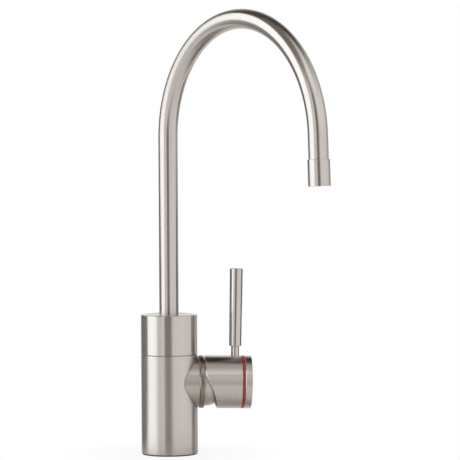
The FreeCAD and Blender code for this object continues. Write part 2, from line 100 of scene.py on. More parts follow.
def brushCoordinates(tree, look):
    # How far along the piece a point lies, and its place on a circle round it, so that a noise
    # that runs fast along and slowly round turns into rings.
    if look["turnedAbout"] == "uv":
        uv = addNode(tree, "ShaderNodeUVMap", {"uv_map": "brush"})
        parts = addNode(tree, "ShaderNodeSeparateXYZ", links={0: uv.outputs[0]})
        angle = addNode(
            tree, "ShaderNodeMath", {"operation": "MULTIPLY"}, {1: 2 * math.pi},
            {0: parts.outputs[1]})
        across = addNode(
            tree, "ShaderNodeMath", {"operation": "COSINE"}, links={0: angle.outputs[0]})
        up = addNode(tree, "ShaderNodeMath", {"operation": "SINE"}, links={0: angle.outputs[0]})
        return parts.outputs[0], across.outputs[0], up.outputs[0]
    place = addNode(tree, "ShaderNodeTexCoord")
    scaled = addNode(
        tree, "ShaderNodeVectorMath", {"operation": "SCALE"},
        {"Scale": 1 / mm}, {0: place.outputs["Object"]})
    parts = addNode(tree, "ShaderNodeSeparateXYZ", links={0: scaled.outputs[0]})
    flat = addNode(
        tree, "ShaderNodeVectorMath", {"operation": "MULTIPLY"},
        {1: (1 / look["radius"], 1 / look["radius"], 0)}, {0: scaled.outputs[0]})
    sides = addNode(tree, "ShaderNodeSeparateXYZ", links={0: flat.outputs[0]})
    return parts.outputs[2], sides.outputs[0], sides.outputs[1]


def ringNoise(tree, coordinates, look, layer):
    along, across, up = coordinates
    run = look[layer + "Run"]
    point = addNode(tree, "ShaderNodeCombineXYZ", links={0: along, 1: across, 2: up})
    stretched = addNode(
        tree, "ShaderNodeVectorMath", {"operation": "MULTIPLY"},
        {1: (1 / look[layer + "Pitch"], run, run)}, {0: point.outputs[0]})
    return addNode(
        tree, "ShaderNodeTexNoise",
        values={"Scale": 1.0, "Detail": look[layer + "Detail"],
                "Roughness": look["noiseRoughness"]},
        links={"Vector": stretched.outputs[0]})


def brushedStainless(name, look):
    # Stainless steel 1.4301, turned and then brushed round with a belt. The fine rings spread each
    # reflection along the piece and keep it narrow across, which gives the long soft stripes.
    material, tree = newMaterial(name)
    coordinates = brushCoordinates(tree, look)
    grit = ringNoise(tree, coordinates, look, "grit")
    passes = ringNoise(tree, coordinates, look, "pass")
    links = unevenSurface(tree, look, grit, passes)
    # The tangent runs along the piece with the UV map, and round it without one.
    if look["turnedAbout"] == "uv":
        lay, layTurn = {"direction_type": "UV_MAP", "uv_map": "brush"}, 0.0
    else:
        lay, layTurn = {"direction_type": "RADIAL", "axis": "Z"}, quarterTurn
    links["Tangent"] = addNode(tree, "ShaderNodeTangent", lay).outputs[0]
    shader = addNode(
        tree, "ShaderNodeBsdfPrincipled",
        values={"Metallic": 1.0, "Anisotropic": look["stretch"], "Anisotropic Rotation": layTurn},
        links=links)
    addNode(tree, "ShaderNodeOutputMaterial", links={"Surface": shader.outputs[0]})
    return material


# Two layers of rings: the grit's lines, and slow bands where the belt dwelt. Pitch is a ring's
# width along the piece, and run is how often it changes on the way round. Real 180 grit lines are
# 0.1 mm apart, and they are drawn wider here so that they show.
satin = {
    "turnedAbout": "uv", "radius": 26.25,
    "colour": "#D3CDC8", "shade": "#CAC4BD",
    "roughness": 0.305, "spread": 0.015, "stretch": 1.0,
    "gritPitch": 0.9, "gritRun": 2.5, "gritDetail": 3,
    "passPitch": 7.0, "passRun": 1.2, "passDetail": 2,
    "noiseRoughness": 0.6, "relief": 0.08, "reliefDepth": 0.02,
}
# The handle and dome had the coarser belt, which gives them their wide soft stripes.
steelTurned = brushedStainless("brushedStainlessTurned", satin)
# The tube and hub had a finer belt, so they mirror a little more along their length.
fineSatin = {**satin, "roughness": 0.24, "stretch": 0.82}
steelFine = brushedStainless("fineBrushedStainless", fineSatin)
# The body had the same belt in more passes, which gives it wider, softer stripes than the hub.
steelBody = brushedStainless("fineBrushedStainlessBody", {
    **fineSatin, "roughness": 0.30, "stretch": 0.70, "turnedAbout": "z"})
# The lever is drawn bar with a light pass of the belt, so its stripes are sharper and darker.
steelDrawn = brushedStainless("drawnBrushedStainless", {
    **fineSatin, "roughness": 0.17, "spread": 0.01, "relief": 0.05})
# The boss's steel is set a shade darker than the body's: painted shade.
shadedBossSteel = brushedStainless("brushedStainlessBossPaintedShade", {
    **satin, "colour": "#C9C3BD", "shade": "#BFB9B2"})
# The collar was only fine turned, so it mirrors the room evenly in every direction. Its colour is
# set well below the other steel's, which is painted shade.
shadedCollarSteel = brushedStainless("fineTurnedStainlessPaintedShade", {
    **satin, "colour": "#978F87", "shade": "#8F877E", "roughness": 0.27, "stretch": 0.0})
# Bevels were turned bright after the brushing, which gives the thin white lines along the edges.
steelBright = brushedStainless("brightTurnedStainless", {**satin, "roughness": 0.2, "stretch": 0.0})
print("brushed steel ready")


def speckled(name, look):
    # Any finish with one noise in its colour, roughness and relief.
    material, tree = newMaterial(name)
    place = addNode(tree, "ShaderNodeTexCoord")
    noise = addNode(
        tree, "ShaderNodeTexNoise",
        values={"Scale": 1 / (look["grain"] * mm), "Detail": look["detail"],
                "Roughness": look["noiseRoughness"]},
        links={"Vector": place.outputs["Object"]})
    values = {"Metallic": look["metallic"]}
    if not look["metallic"]:
        values["IOR"] = look["ior"]
    links = unevenSurface(tree, look, noise, noise)
    shader = addNode(tree, "ShaderNodeBsdfPrincipled", values=values, links=links)
    addNode(tree, "ShaderNodeOutputMaterial", links={"Surface": shader.outputs[0]})
    return material


# What the smaller and inner pieces are made of. Grain is the size of a speckle.
speckle = {"noiseRoughness": 0.55, "reliefDepth": 0.05}
finishes = {
    # Spring and bright drawn steel: grey, with faint tool marks.
    "plain_steel": ("turnedSteel", {
        "colour": "#C4C2BE", "shade": "#ABA9A5", "grain": 0.6, "detail": 3, "roughness": 0.32,
        "spread": 0.06, "relief": 0.2, "metallic": 1.0}),
    # Machined brass: warm yellow with darker, slightly oxidised patches.
    "brass": ("machinedBrass", {
        "colour": "#E2C27E", "shade": "#C9A45C", "grain": 2.5, "detail": 4, "roughness": 0.3,
        "spread": 0.07, "relief": 0.15, "metallic": 1.0}),
    # Moulded EPDM rubber: near black and dull, with the mould's fine eroded texture.
    "black_rubber": ("mouldedRubber", {
        "colour": "#33312F", "shade": "#232120", "grain": 0.35, "detail": 3, "roughness": 0.72,
        "spread": 0.08, "relief": 0.5, "metallic": 0.0, "ior": 1.52}),
    # Lapped alumina: off-white and close grained, with a soft gloss.
    "ceramic": ("lappedAlumina", {
        "colour": "#F1EEE8", "shade": "#E4E0D8", "grain": 0.3, "detail": 2, "roughness": 0.2,
        "spread": 0.05, "relief": 0.1, "metallic": 0.0, "ior": 1.76}),
    # Moulded acetal: milky white, with slight flow marks.
    "white_plastic": ("mouldedAcetal", {
        "colour": "#E9E7E1", "shade": "#DAD8D1", "grain": 3.0, "detail": 3, "roughness": 0.42,
        "spread": 0.05, "relief": 0.25, "metallic": 0.0, "ior": 1.48}),
    # Moulded glass-filled nylon: grey, with the fibres showing as a light fleck.
    "grey_plastic": ("mouldedNylon", {
        "colour": "#75797D", "shade": "#5E6266", "grain": 0.5, "detail": 5, "roughness": 0.5,
        "spread": 0.07, "relief": 0.3, "metallic": 0.0, "ior": 1.53}),
    # Cast acrylic ring dyed red: satin, a little deeper where the dye pooled.
    "red_ring": ("castRedAcrylic", {
        "colour": "#9A2619", "shade": "#8C2015", "grain": 4.0, "detail": 2, "roughness": 0.35,
        "spread": 0.04, "relief": 0.1, "metallic": 0.0, "ior": 1.49}),
}
materials = {slot: speckled(name, {**speckle, **look}) for slot, (name, look) in finishes.items()}
materials["brushed_stainless"] = steelBody

for part in frame["record"]["subparts"]:
    node = frame["nodes"][part["node"]]
    node.data.materials.clear()
    node.data.materials.append(materials[part["material_slot"]])
print("plain finishes ready:", len(materials))


# How every mesh is made: points on a rounded corner, how far beside it a ring keeps the flat flat,
# the bend over which an edge is sharp, and the width under which a ring is one point.
meshing = {"roundSteps": 5, "flatGuard": 0.03, "sharpAngle": 24.0, "onePoint": 1e-6}


def softened(outline):
    # Rounds each corner that gives a radius as its third number.
    points = []
    steps = meshing["roundSteps"]
    for at, corner in enumerate(outline):
        here = Vector(corner[:2])
        if len(corner) < 3:
            points.append(here)
            continue
        size = corner[2]
        back = (Vector(outline[at - 1][:2]) - here).normalized()
        ahead = (Vector(outline[at + 1][:2]) - here).normalized()
        half = back.angle(ahead) / 2
        reach = size / math.tan(half)
        centre = here + (back + ahead).normalized() * (size / math.sin(half))
        first = here + back * reach - centre
        last = here + ahead * reach - centre
        start = math.atan2(first.y, first.x)
        turn = (math.atan2(last.y, last.x) - start + math.pi) % (2 * math.pi) - math.pi
        points.append(here + back * (reach + meshing["flatGuard"]))
        for step in range(steps + 1):
            angle = start + turn * step / steps
            points.append(centre + Vector((math.cos(angle), math.sin(angle))) * size)
        points.append(here + ahead * (reach + meshing["flatGuard"]))
    return points


def newPiece(name, mesh):
    data = bpy.data.meshes.new(name)
    mesh.to_mesh(data)
    mesh.free()
    piece = bpy.data.objects.new(name, data)
    bpy.context.scene.collection.objects.link(piece)
    return piece


def skin(name, rings, place):
    # A mesh through rings of points. UV: millimetres along the piece, and the share of a turn.
    sides = len(rings[0])
    mesh = bmesh.new()
    uvLayer = mesh.loops.layers.uv.new("brush")
    grid = []
    for ring in rings:
        if max((point - ring[0]).length for point in ring) < meshing["onePoint"]:
            grid.append([mesh.verts.new(place @ ring[0])] * sides)
        else:
            grid.append([mesh.verts.new(place @ point) for point in ring])
    along = [0.0]
    for before, after in zip(rings, rings[1:]):
        along.append(along[-1] + sum((b - a).length for a, b in zip(before, after)) / sides)
    for at in range(len(rings) - 1):
        for side in range(sides):
            after = (side + 1) % sides
            corners = [
                (grid[at][side], along[at], side),
                (grid[at][after], along[at], side + 1),
                (grid[at + 1][after], along[at + 1], side + 1),
                (grid[at + 1][side], along[at + 1], side),
            ]
            seen = []
            for corner in corners:
                if corner[0] not in [c[0] for c in seen]:
                    seen.append(corner)
            face = mesh.faces.new([c[0] for c in seen])
            face.smooth = True
            for loop, corner in zip(face.loops, seen):
                loop[uvLayer].uv = (corner[1], corner[2] / sides)
    bmesh.ops.recalc_face_normals(mesh, faces=mesh.faces)
    for edge in mesh.edges:
        joins = len(edge.link_faces) == 2
        if joins and edge.calc_face_angle() > math.radians(meshing["sharpAngle"]):
            edge.smooth = False
    return newPiece(name, mesh)


def circle(radius, along, sides):
    turns = [2 * math.pi * side / sides for side in range(sides)]
    return [Vector((radius * math.cos(t), radius * math.sin(t), along)) for t in turns]


def turnedPiece(name, outline, place, sides):
    # Each outline point is (along the axis, radius) or (along, radius, rounding).
    return skin(name, [circle(p.y, p.x, sides) for p in softened(outline)], place)


def dress(piece, body, node, material):
    piece.data.materials.append(material)
    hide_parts(node)
    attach(piece, body)


bevelFacing = (-0.85, -0.35)    # the cosine between a bevel's normal and the axis, its two limits


def brightenBevels(piece, place):
    # The narrow bevels that face back along the axis get the bright turned finish.
    piece.data.materials.append(steelBright)
    axis = (place.to_3x3() @ zAxis).normalized()
    for face in piece.data.polygons:
        if bevelFacing[0] < face.normal.dot(axis) < bevelFacing[1]:
            face.material_index = 1


upright = Matrix.Scale(mm, 4)

foot = {
    "sealRadius": 25.65, "sealHeight": 1.0, "recess": 22.3, "bulge": 0.2, "bulgeRound": 0.4,
    "edge": 0.15, "sides": 176,
}
sealOutline = [
    (0.0, foot["recess"]),
    (0.0, foot["sealRadius"] - foot["bulge"], foot["edge"]),
    (foot["sealHeight"] / 2, foot["sealRadius"], foot["bulgeRound"]),
    (foot["sealHeight"], foot["sealRadius"] - foot["bulge"], foot["edge"]),
    (foot["sealHeight"], foot["recess"]),
    (0.0, foot["recess"]),
]
baseSeal = turnedPiece("baseSeal", sealOutline, upright, foot["sides"])
dress(baseSeal, "faucet_body", "base_seal", materials["black_rubber"])

hub = {
    "low": 93.45, "high": 130.3, "radius": 26.25, "topEdge": 0.5, "seamEdge": 0.25,
    "postHole": 16.0, "postHoleDepth": 6.0, "postHoleEdge": 0.3,
    "tubeHole": 9.12, "tubeHoleDepth": 3.0, "tubeHoleEdge": 0.15, "sides": 176,
}
hubOutline = [
    (hub["low"] + hub["postHoleDepth"], hub["postHole"]),
    (hub["low"], hub["postHole"], hub["postHoleEdge"]),
    (hub["low"], hub["radius"], hub["seamEdge"]),
    (hub["high"], hub["radius"], hub["topEdge"]),
    (hub["high"], hub["tubeHole"], hub["tubeHoleEdge"]),
    (hub["high"] - hub["tubeHoleDepth"], hub["tubeHole"]),
]
spoutHub = turnedPiece("spoutHub", hubOutline, upright, hub["sides"])
dress(spoutHub, "spout", "spout_hub", steelFine)
print("foot and hub made")


gooseneck = {
    "radius": 9.0, "start": 127.0, "riseTop": 295.0, "arcRadius": 108.2, "sweepAngle": 177.5,
    "tip": 45.2, "swingAngle": -56.4, "riseSteps": 25, "arcSteps": 150, "tipSteps": 8, "sides": 88,
}
sleeve = {
    "radius": 10.0, "length": 23.7, "topEdge": 0.45, "lipEdge": 0.3,
    "bore": 8.9, "boreDepth": 9.0, "boreEdge": 0.25, "tubeEnd": 12.0,
    "tubeGap": 0.1, "tubeGapEdge": 0.1, "tubeGapDepth": 2.0, "sides": 128,
}


def spoutPoint(reach, height):
    # A point in the gooseneck's own upright plane.
    swing = math.radians(gooseneck["swingAngle"])
    return Vector((reach * math.cos(swing), reach * math.sin(swing), height))


def outlet():
    # The outlet's middle, and the direction from it back up the tip.
    past = math.radians(180 - gooseneck["sweepAngle"])
    arc, tip = gooseneck["arcRadius"], gooseneck["tip"]
    reach = arc * (1 + math.cos(past)) + tip * math.sin(past)
    height = gooseneck["riseTop"] + arc * math.sin(past) - tip * math.cos(past)
    return spoutPoint(reach, height), spoutPoint(-math.sin(past), math.cos(past))


def gooseneckLine():
    # Points along the middle of the tube, each with its direction.
    line = []
    rise = gooseneck["riseTop"] - gooseneck["start"]
    for step in range(gooseneck["riseSteps"]):
        height = gooseneck["start"] + rise * step / gooseneck["riseSteps"]
        line.append((spoutPoint(0, height), zAxis))
    for step in range(gooseneck["arcSteps"] + 1):
        turn = math.radians(gooseneck["sweepAngle"]) * step / gooseneck["arcSteps"]
        reach = gooseneck["arcRadius"] * (1 - math.cos(turn))
        height = gooseneck["riseTop"] + gooseneck["arcRadius"] * math.sin(turn)
        line.append((spoutPoint(reach, height), spoutPoint(math.sin(turn), math.cos(turn))))
    end, back = outlet()
    end = end + back * sleeve["tubeEnd"]
    last = line[-1][0]
    for step in range(1, gooseneck["tipSteps"] + 1):
        line.append((last.lerp(end, step / gooseneck["tipSteps"]), -back))
    return line


def gooseneckRings():
    side = zAxis.cross(spoutPoint(1, 0))
    rings = []
    for point, direction in gooseneckLine():
        out = side.cross(direction)
        ring = []
        for step in range(gooseneck["sides"]):
            angle = 2 * math.pi * step / gooseneck["sides"]
            spoke = out * math.cos(angle) + side * math.sin(angle)
            ring.append(point + spoke * gooseneck["radius"])
        rings.append(ring)
    return rings


spoutTube = skin("gooseneckTube", gooseneckRings(), upright)
dress(spoutTube, "spout", "spout_tube", steelFine)

outletPoint, outletBack = outlet()
outletTurn = outletBack.to_track_quat("Z", "Y").to_matrix().to_4x4()
atOutlet = upright @ Matrix.Translation(outletPoint) @ outletTurn

tubeFit = gooseneck["radius"] + sleeve["tubeGap"]
sleeveOutline = [
    (sleeve["boreDepth"], sleeve["bore"]),
    (0.0, sleeve["bore"], sleeve["boreEdge"]),
    (0.0, sleeve["radius"], sleeve["lipEdge"]),
    (sleeve["length"], sleeve["radius"], sleeve["topEdge"]),
    (sleeve["length"], tubeFit, sleeve["tubeGapEdge"]),
    (sleeve["length"] - sleeve["tubeGapDepth"], tubeFit),
]
aeratorSleeve = turnedPiece("aeratorSleeve", sleeveOutline, atOutlet, sleeve["sides"])
dress(aeratorSleeve, "spout", "aerator_sleeve", steelFine)
print("gooseneck and outlet made")


valve = {
    "height": 67.15, "pivot": 32.6, "bossEnd": 31.7, "bodyRadius": 26.25,
    "neckRadius": 23.4, "neckClear": 0.6, "neckSides": 224,
    # The groove where the boss meets the body: (how far past the body's surface, how deep).
    "seam": ((-1.5, 0.6), (0.18, 0.6), (0.45, 0.12), (0.65, 0.0), (0.7, 0.0)),
    # A turned step before the collar, under its flank.
    "step": 0.35, "stepDepth": 0.4, "stepEdge": 0.1, "stepLap": 0.1,
    "collarStart": 28.0, "collarRadius": 24.7, "flank": 1.8, "flankEdge": 0.12, "bossRound": 1.2,
    "mouth": 20.43, "mouthDepth": 4.0, "mouthEdge": 0.3, "turnedSides": 192,
    "domeRadius": 22.6, "domeWall": 2.2, "domeOpening": 13.4, "domeSteps": 36,
}
# Local Z runs along the valve, and local X points up.
alongValve = upright @ Matrix((
    (0, 0, 1, 0),
    (0, -1, 0, 0),
    (1, 0, 0, valve["height"]),
    (0, 0, 0, 1),
))
stepRadius = valve["neckRadius"] - valve["stepDepth"]


def neckRings():
    # The boss's neck starts where it meets the round body, with a narrow groove along that line.
    sides = valve["neckSides"]
    latest = valve["collarStart"] - valve["neckClear"]
    rings = []
    for offset, depth in valve["seam"]:
        ring = []
        for point in circle(valve["neckRadius"] - depth, 0, sides):
            start = math.sqrt(valve["bodyRadius"] ** 2 - point.y ** 2)
            ring.append(Vector((point.x, point.y, min(start + offset, latest))))
        rings.append(ring)
    step = valve["collarStart"] - valve["step"]
    outline = softened([
        (0.0, valve["neckRadius"]),
        (step, valve["neckRadius"], valve["stepEdge"]),
        (step, stepRadius),
        (valve["collarStart"] + valve["stepLap"], stepRadius),
    ])
    return rings + [circle(point.y, point.x, sides) for point in outline[1:]]


bossNeck = skin("bossNeck", neckRings(), alongValve)
dress(bossNeck, "faucet_body", "valve_boss", shadedBossSteel)

collarOutline = [
    (valve["collarStart"] - valve["flank"], stepRadius),
    (valve["collarStart"], valve["collarRadius"], valve["flankEdge"]),
    (valve["bossEnd"], valve["collarRadius"], valve["bossRound"]),
    (valve["bossEnd"], valve["mouth"], valve["mouthEdge"]),
    (valve["bossEnd"] - valve["mouthDepth"], valve["mouth"]),
]
bossCollar = turnedPiece("bossCollar", collarOutline, alongValve, valve["turnedSides"])
dress(bossCollar, "faucet_body", "valve_boss", shadedCollarSteel)


def domeOutline():
    radius, opening, steps = valve["domeRadius"], valve["domeOpening"], valve["domeSteps"]
    low = math.asin((valve["bossEnd"] - valve["pivot"]) / radius)
    high = math.acos(opening / radius)
    outline = []
    for step in range(steps + 1):
        angle = low + (high - low) * step / steps
        outline.append((valve["pivot"] + radius * math.sin(angle), radius * math.cos(angle)))
    inner = radius - valve["domeWall"]
    outline.append((valve["pivot"] + math.sqrt(inner ** 2 - opening ** 2), opening))
    return outline


bonnetDome = turnedPiece("bonnetDome", domeOutline(), alongValve, valve["turnedSides"])
dress(bonnetDome, "faucet_body", "bonnet_dome", steelTurned)
print("valve boss and dome made")


handle = {
    "leanAngle": 1.2, "radius": 24.7, "bore": 23.0, "innerWall": 55.9, "innerHole": 8.0,
    # The rim is straight above the axis, and below it is cut back on a bowed slant.
    "edge": 32.3, "cutRise": 8.5, "cutDepth": 11.9, "cutBow": 1.45,
    # The bevels of the rim and the end cap: (inwards, along).
    "bevel": (0.55, 0.75), "bevelEdge": 0.12,
    # The rim's three corners, each as points (outwards, back) from the corner itself.
    "boreCorner": ((0.0, 2.0), (0.0, 0.25), (0.08, 0.08), (0.25, 0.0)),
    "bevelStart": ((-0.08, 0.0), (0.0, 0.02), (0.06, 0.1)),
    "bevelStop": ((-0.06, -0.1), (-0.015, -0.01), (0.0, 0.08), (0.0, 0.12)),
    "farEdge": 0.2, "farDepth": 2.0, "capSides": 256,
    "ringStart": 66.85, "ringWidth": 2.3, "ringGap": 0.12, "ringDepth": 2.1, "ringSet": 0.1,
    "ringEdge": 0.12, "ringCrown": 0.5,
    "end": 75.95, "endRound": 0.55, "seatLap": 2.0, "seatHole": 20.0, "seatDepth": 2.2,
    "turnedSides": 224,
}
pivotPoint = Vector((valve["pivot"], 0, valve["height"]))
lean = Matrix.Rotation(math.radians(handle["leanAngle"]), 4, "Y")
leaning = (
    upright @ Matrix.Translation(pivotPoint) @ lean
    @ Matrix.Translation(-pivotPoint) @ upright.inverted()
)
alongHandle = leaning @ alongValve


def slantedEdge(height):
    # How far along the valve the handle's rim lies, at one height over the axis.
    rise = handle["cutRise"]
    if height >= rise:
        return handle["edge"]
    chord = Vector((handle["cutDepth"], -handle["radius"] - rise))
    half = chord.length / 2
    bow = handle["cutBow"]
    radius = (half ** 2 + bow ** 2) / (2 * bow)
    across = Vector((-chord.y, chord.x)).normalized()
    centre = Vector((handle["edge"], rise)) + chord / 2 + across * (bow - radius)
    return centre.x + math.sqrt(max(radius ** 2 - (height - centre.y) ** 2, 0))


def handleRings():
    sides = handle["capSides"]
    inward, along = handle["bevel"]
    corners = (
        (handle["bore"], 0.0, handle["boreCorner"]),
        (handle["radius"] - inward, 0.0, handle["bevelStart"]),
        (handle["radius"], along, handle["bevelStop"]),
    )
    inside = (handle["innerHole"], handle["bore"])
    rings = [circle(radius, handle["innerWall"], sides) for radius in inside]
    for corner, behind, points in corners:
        for out, back in points:
            radius = corner + out
            ring = []
            for point in circle(radius, 0, sides):
                rim = slantedEdge(point.x * handle["radius"] / radius)
                ring.append(Vector((point.x, point.y, rim + (behind + back))))
            rings.append(ring)
    far = handle["ringStart"] - handle["ringGap"]
    outline = softened([
        (handle["edge"], handle["radius"]),
        (far, handle["radius"], handle["farEdge"]),
        (far, handle["radius"] - handle["farDepth"]),
    ])
    return rings + [circle(point.y, point.x, sides) for point in outline[1:]]


handleCap = skin("handleCap", handleRings(), alongHandle)
dress(handleCap, "handle", "handle_cap", steelTurned)
brightenBevels(handleCap, alongHandle)

ringStart = handle["ringStart"]
ringEnd = ringStart + handle["ringWidth"]
ringFoot = handle["radius"] - handle["ringDepth"]
ringShoulder = handle["radius"] - handle["ringSet"]
indicatorOutline = [
    (ringStart, ringFoot),
    (ringStart, ringShoulder, handle["ringEdge"]),
    ((ringStart + ringEnd) / 2, handle["radius"], handle["ringCrown"]),
    (ringEnd, ringShoulder, handle["ringEdge"]),
    (ringEnd, ringFoot),
]
indicatorRing = turnedPiece(
    "indicatorRing", indicatorOutline, alongHandle, handle["turnedSides"])
dress(indicatorRing, "handle", "indicator_ring", materials["red_ring"])

endStart = ringEnd + handle["ringGap"]
seatRadius = handle["radius"] - handle["seatDepth"]
bevelInward, bevelAlong = handle["bevel"]
endOutline = [
    (ringStart - handle["seatLap"], handle["seatHole"]),
    (ringStart - handle["seatLap"], seatRadius),
    (endStart, seatRadius),
    (endStart, handle["radius"] - bevelInward, handle["bevelEdge"]),
    (endStart + bevelAlong, handle["radius"], handle["bevelEdge"]),
    (handle["end"], handle["radius"], handle["endRound"]),
    (handle["end"], 0.0),
]
endCap = turnedPiece("handleEndCap", endOutline, alongHandle, handle["turnedSides"])
dress(endCap, "handle", "end_cap", steelTurned)
brightenBevels(endCap, alongHandle)
print("handle made")


lever = {
    "axis": 61.0,
    "neckRadius": 3.8, "neckLow": 20.0, "chamfer": 0.4, "chamferEdge": 0.2,
    "filletStart": 0.35, "filletOut": 0.3, "filletEdge": 0.3, "neckLap": 0.6, "neckSides": 96,
    "gripLow": 33.7, "gripHigh": 106.2, "radiusLow": 5.75, "radiusHigh": 6.1, "bevel": 0.5,
    "socketDepth": 0.5, "socketIn": 0.3, "socketOut": 0.25, "socketEdge": 0.2, "gripSides": 112,
}
atLever = leaning @ upright @ Matrix.Translation((lever["axis"], 0, valve["height"]))

neckOutline = [
    (lever["neckLow"], lever["neckRadius"] - lever["chamfer"]),
    (lever["neckLow"] + lever["chamfer"], lever["neckRadius"], lever["chamferEdge"]),
    (lever["gripLow"] - lever["filletStart"], lever["neckRadius"], lever["filletEdge"]),
    (lever["gripLow"], lever["neckRadius"] + lever["filletOut"]),
    (lever["gripLow"] + lever["neckLap"], lever["neckRadius"] + lever["filletOut"]),
]
leverNeck = turnedPiece("leverNeck", neckOutline, atLever, lever["neckSides"])
dress(leverNeck, "handle", "lever_neck", steelDrawn)

gripOutline = [
    (lever["gripLow"] + lever["socketDepth"], lever["neckRadius"] - lever["socketIn"]),
    (lever["gripLow"], lever["neckRadius"] + lever["socketOut"], lever["socketEdge"]),
    (lever["gripLow"], lever["radiusLow"], lever["bevel"]),
    (lever["gripHigh"], lever["radiusHigh"], lever["bevel"]),
    (lever["gripHigh"], 0.0),
]
leverGrip = turnedPiece("leverGrip", gripOutline, atLever, lever["gripSides"])
dress(leverGrip, "handle", "lever_grip", steelDrawn)
print("lever made")


studio = {
    "cameraPlace": (-0.1997, -2.993, 0.3456), "pitchAngle": 2.613, "turnAngle": 4.91,
    "rollAngle": -0.292, "lens": 252.5, "sensorWidth": 36.0, "clip": (0.1, 50.0),
    "floorRings": (0.0, 0.03, 0.08, 0.125), "floorSides": 96, "floorDrop": 0.0002,
    "floorFade": (0.04, 0.12125), "floorColour": "#D3D1CE", "floorWhite": 0.90,
    # Brightness round the faucet at eye level: (degrees to the right of the camera, level).
    "round": (
        (-172, 0.70), (-162, 0.42), (-152, 0.24), (-140, 0.16), (-122, 0.12), (-100, 0.14),
        (-90, 0.55), (-57, 0.74), (-48, 0.76), (-40, 0.72), (-30, 0.78), (-22, 1.02),
        (-17.5, 0.18), (7.5, 0.16), (13.5, 0.78), (24, 0.84), (38, 0.84), (60, 0.87),
        (72, 0.83), (88, 0.82), (99, 0.90), (108, 0.62), (121, 0.50), (130, 0.52),
        (145, 0.48), (160, 0.52), (172, 0.70),
    ),
    # In an arc from the front, over the top and down behind: (degrees from the front, level).
    "over": (
        (-150, 0.18), (-132, 0.12), (-122, 0.12), (-98, 0.16), (-85, 0.46), (-74, 0.76),
        (-60, 0.82), (-43, 0.80), (30, 0.90), (40, 1.02), (48, 1.20), (55, 1.26), (65, 1.10),
        (75, 0.90), (86, 0.76), (92, 0.42), (97, 0.04), (101, 0.02), (128, 0.02), (142, 0.14),
        (158, 0.42),
    ),
    "overWidth": (0.45, 0.70),      # the arc's half width: full inside, gone outside
    # By height, as (degrees over the horizon, share or level): how much the first list brightens,
    # where the second takes over, how bright the ground is and where it shows.
    "rise": (
        (-12, 1.1), (-6, 1.08), (-3, 0.96), (8, 1.12), (22, 1.26), (34, 1.08), (50, 0.78),
        (68, 0.5), (83, 0.4),
    ),
    "takeOver": ((-58, 1.0), (-48, 0.0), (34, 0.0), (40, 1.0)),
    "ground": ((-90, 0.62), (-75, 0.70), (-50, 0.78), (-28, 0.80), (-13, 0.90)),
    "groundShare": ((-50, 1.0), (-30, 0.80), (-20, 0.60), (-13, 0.40), (-8, 0.0)),
    "mostLevel": 2.0,               # no level above may be higher
    # A dark cloth high on the left and a large soft box before it: each one's middle, its tilt, its
    # half sizes as shares of its distance, and its level.
    "panels": (
        {"aroundAngle": -60.0, "heightAngle": 62.0, "tiltAngle": 0.0,
         "width": 0.60, "height": 0.56, "edge": 0.15, "level": 0.22},
        {"aroundAngle": -88.0, "heightAngle": 16.0, "tiltAngle": 25.0,
         "width": 0.88, "height": 0.53, "edge": 0.10, "level": 1.64},
    ),
    "warmth": 0.06,                 # dim panels are warmer and bright ones cooler
    "backdrop": (0.985, 0.995),     # how squarely behind a reflection meets the white background
    # Low cards on the floor that only the metal's gloss sees, as painted reflection, each between
    # two angles: a grey one behind the soft box's foot, and a black one on the right.
    "cards": (
        {"fromAngle": -140.0, "toAngle": -97.0, "distance": 0.5, "low": 0.0, "high": 0.22,
         "level": 0.2},
        {"fromAngle": 101.0, "toAngle": 124.0, "distance": 0.5, "low": -0.04, "high": 0.22,
         "level": 0.0},
    ),
    "cardSteps": 24,
}
cameraSide = math.degrees(math.atan2(studio["cameraPlace"][0], -studio["cameraPlace"][1]))
pureWhite = (1.0, 1.0, 1.0, 1.0)


def levelRamp(tree, stops, share):
    # A colour ramp holds at most 1, so the levels go in as shares of the most.
    most = studio["mostLevel"]
    node = addNode(tree, "ShaderNodeValToRGB", links={0: share})
    elements = node.color_ramp.elements
    while len(elements) > 1:
        elements.remove(elements[-1])
    for at, (position, level) in enumerate(sorted(stops)):
        element = elements[0] if at == 0 else elements.new(position)
        element.position = position
        element.color = (level / most, level / most, level / most, 1.0)
    return addNode(
        tree, "ShaderNodeMath", {"operation": "MULTIPLY"}, {1: most}, {0: node.outputs[0]})


def turnShare(tree, sine, cosine):
    # The angle of a direction as a share of a whole turn, with 0.5 at the front.
    turn = addNode(tree, "ShaderNodeMath", {"operation": "ARCTAN2"}, links={0: sine, 1: cosine})
    share = addNode(
        tree, "ShaderNodeMath", {"operation": "MULTIPLY_ADD"}, {1: 0.5 / math.pi, 2: 0.5},
        {0: turn.outputs[0]})
    return share.outputs[0]


